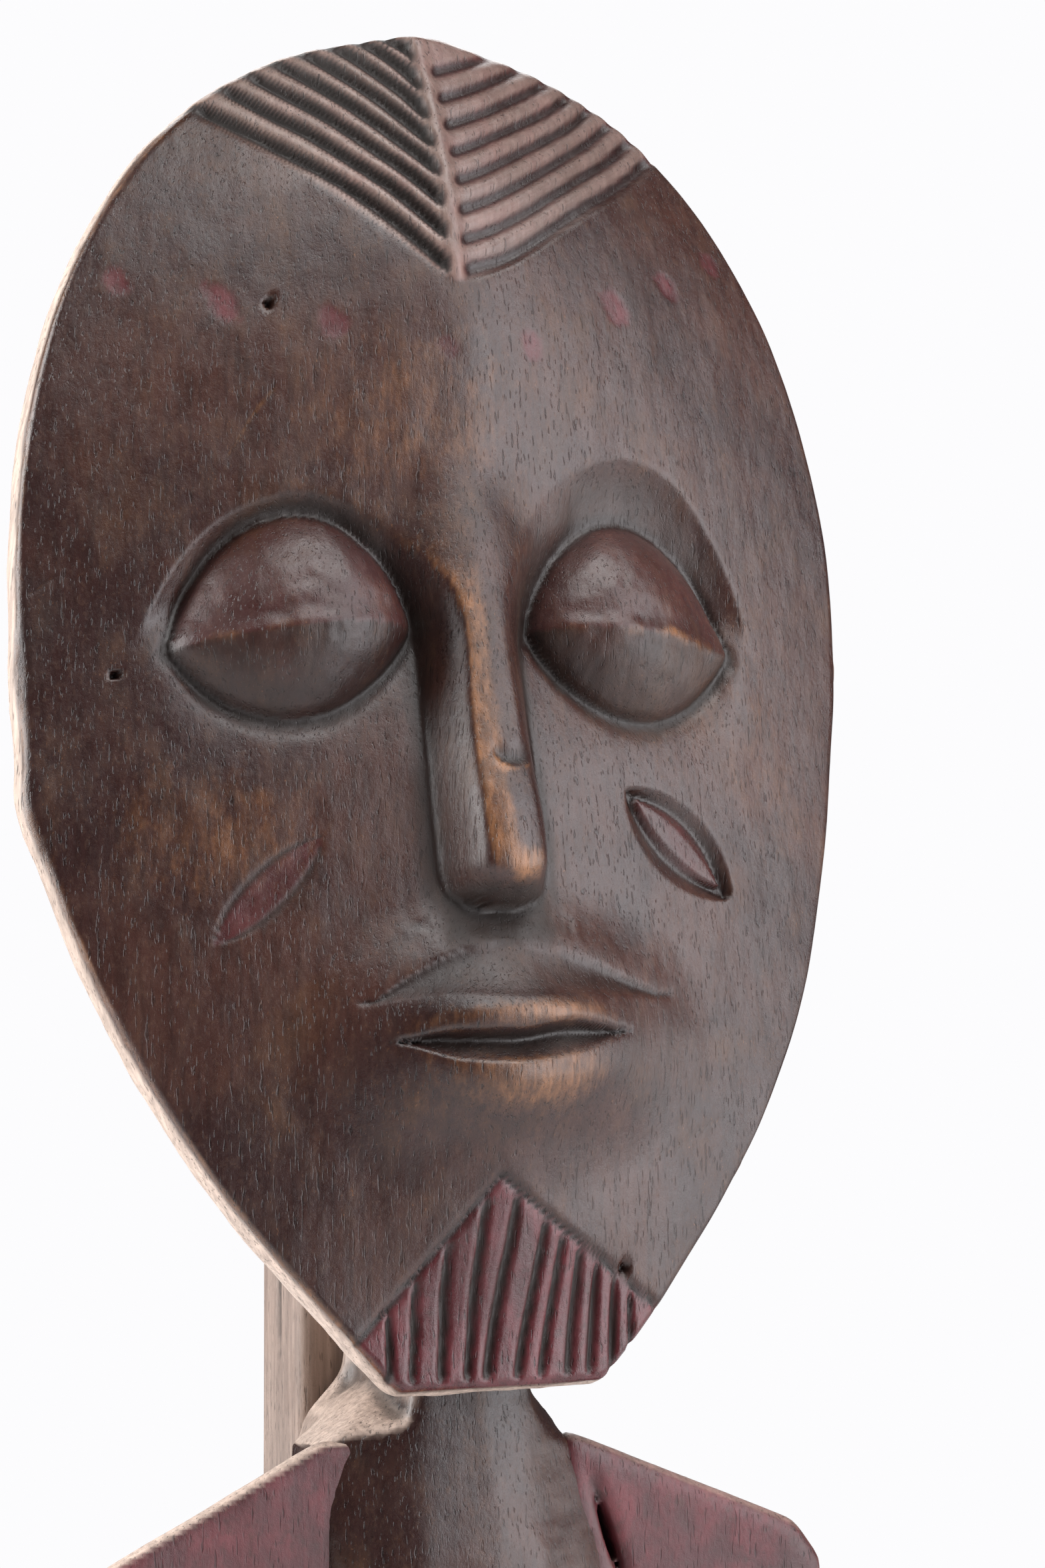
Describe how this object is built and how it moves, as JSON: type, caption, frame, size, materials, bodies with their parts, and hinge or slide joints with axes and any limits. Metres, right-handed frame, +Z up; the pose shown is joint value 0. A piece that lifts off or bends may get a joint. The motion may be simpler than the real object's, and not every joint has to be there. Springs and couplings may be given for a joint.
{
  "type": "carved ancestor figure",
  "caption": "Standing carved wooden ancestor figure with a broad oval leaning face, board-like shoulders and arms, a rear post and a plinth.",
  "frame": {"origin": "centre of the plinth's underside", "axes": "the figure faces -Y, +X is to the right as seen from the front, +Z is up"},
  "size_m": [0.18, 0.14, 0.7601],
  "materials": {
    "dark_stained_wood": "dark brown stain, hand-rubbed satin with worn edges",
    "red_glazed_wood": "red-brown glaze over dark stain, low gloss",
    "raw_wood": "straight-grained, thinly stained, dry",
    "peg_wood": "end grain, dry and darkened by handling",
    "plinth_wood": "dark brown stain, rubbed dull at the edges"
  },
  "bodies": {
    "root": {"plinth": "plinth_wood", "torso_column": "dark_stained_wood", "head": "dark_stained_wood", "back_post": "raw_wood", "left_shoulder_arm": "red_glazed_wood", "left_forearm": "red_glazed_wood", "left_leg": "dark_stained_wood", "right_shoulder_arm": "red_glazed_wood", "right_forearm": "red_glazed_wood", "right_leg": "dark_stained_wood", "head_peg_1": "peg_wood", "head_peg_2": "peg_wood", "post_peg_1": "peg_wood", "post_peg_2": "peg_wood", "left_shoulder_peg_1": "peg_wood", "left_shoulder_peg_2": "peg_wood", "left_elbow_peg": "peg_wood", "left_hip_peg": "peg_wood", "left_foot_peg": "peg_wood", "right_shoulder_peg_1": "peg_wood", "right_shoulder_peg_2": "peg_wood", "right_elbow_peg": "peg_wood", "right_hip_peg": "peg_wood", "right_foot_peg": "peg_wood"}
  },
  "joints": []
}
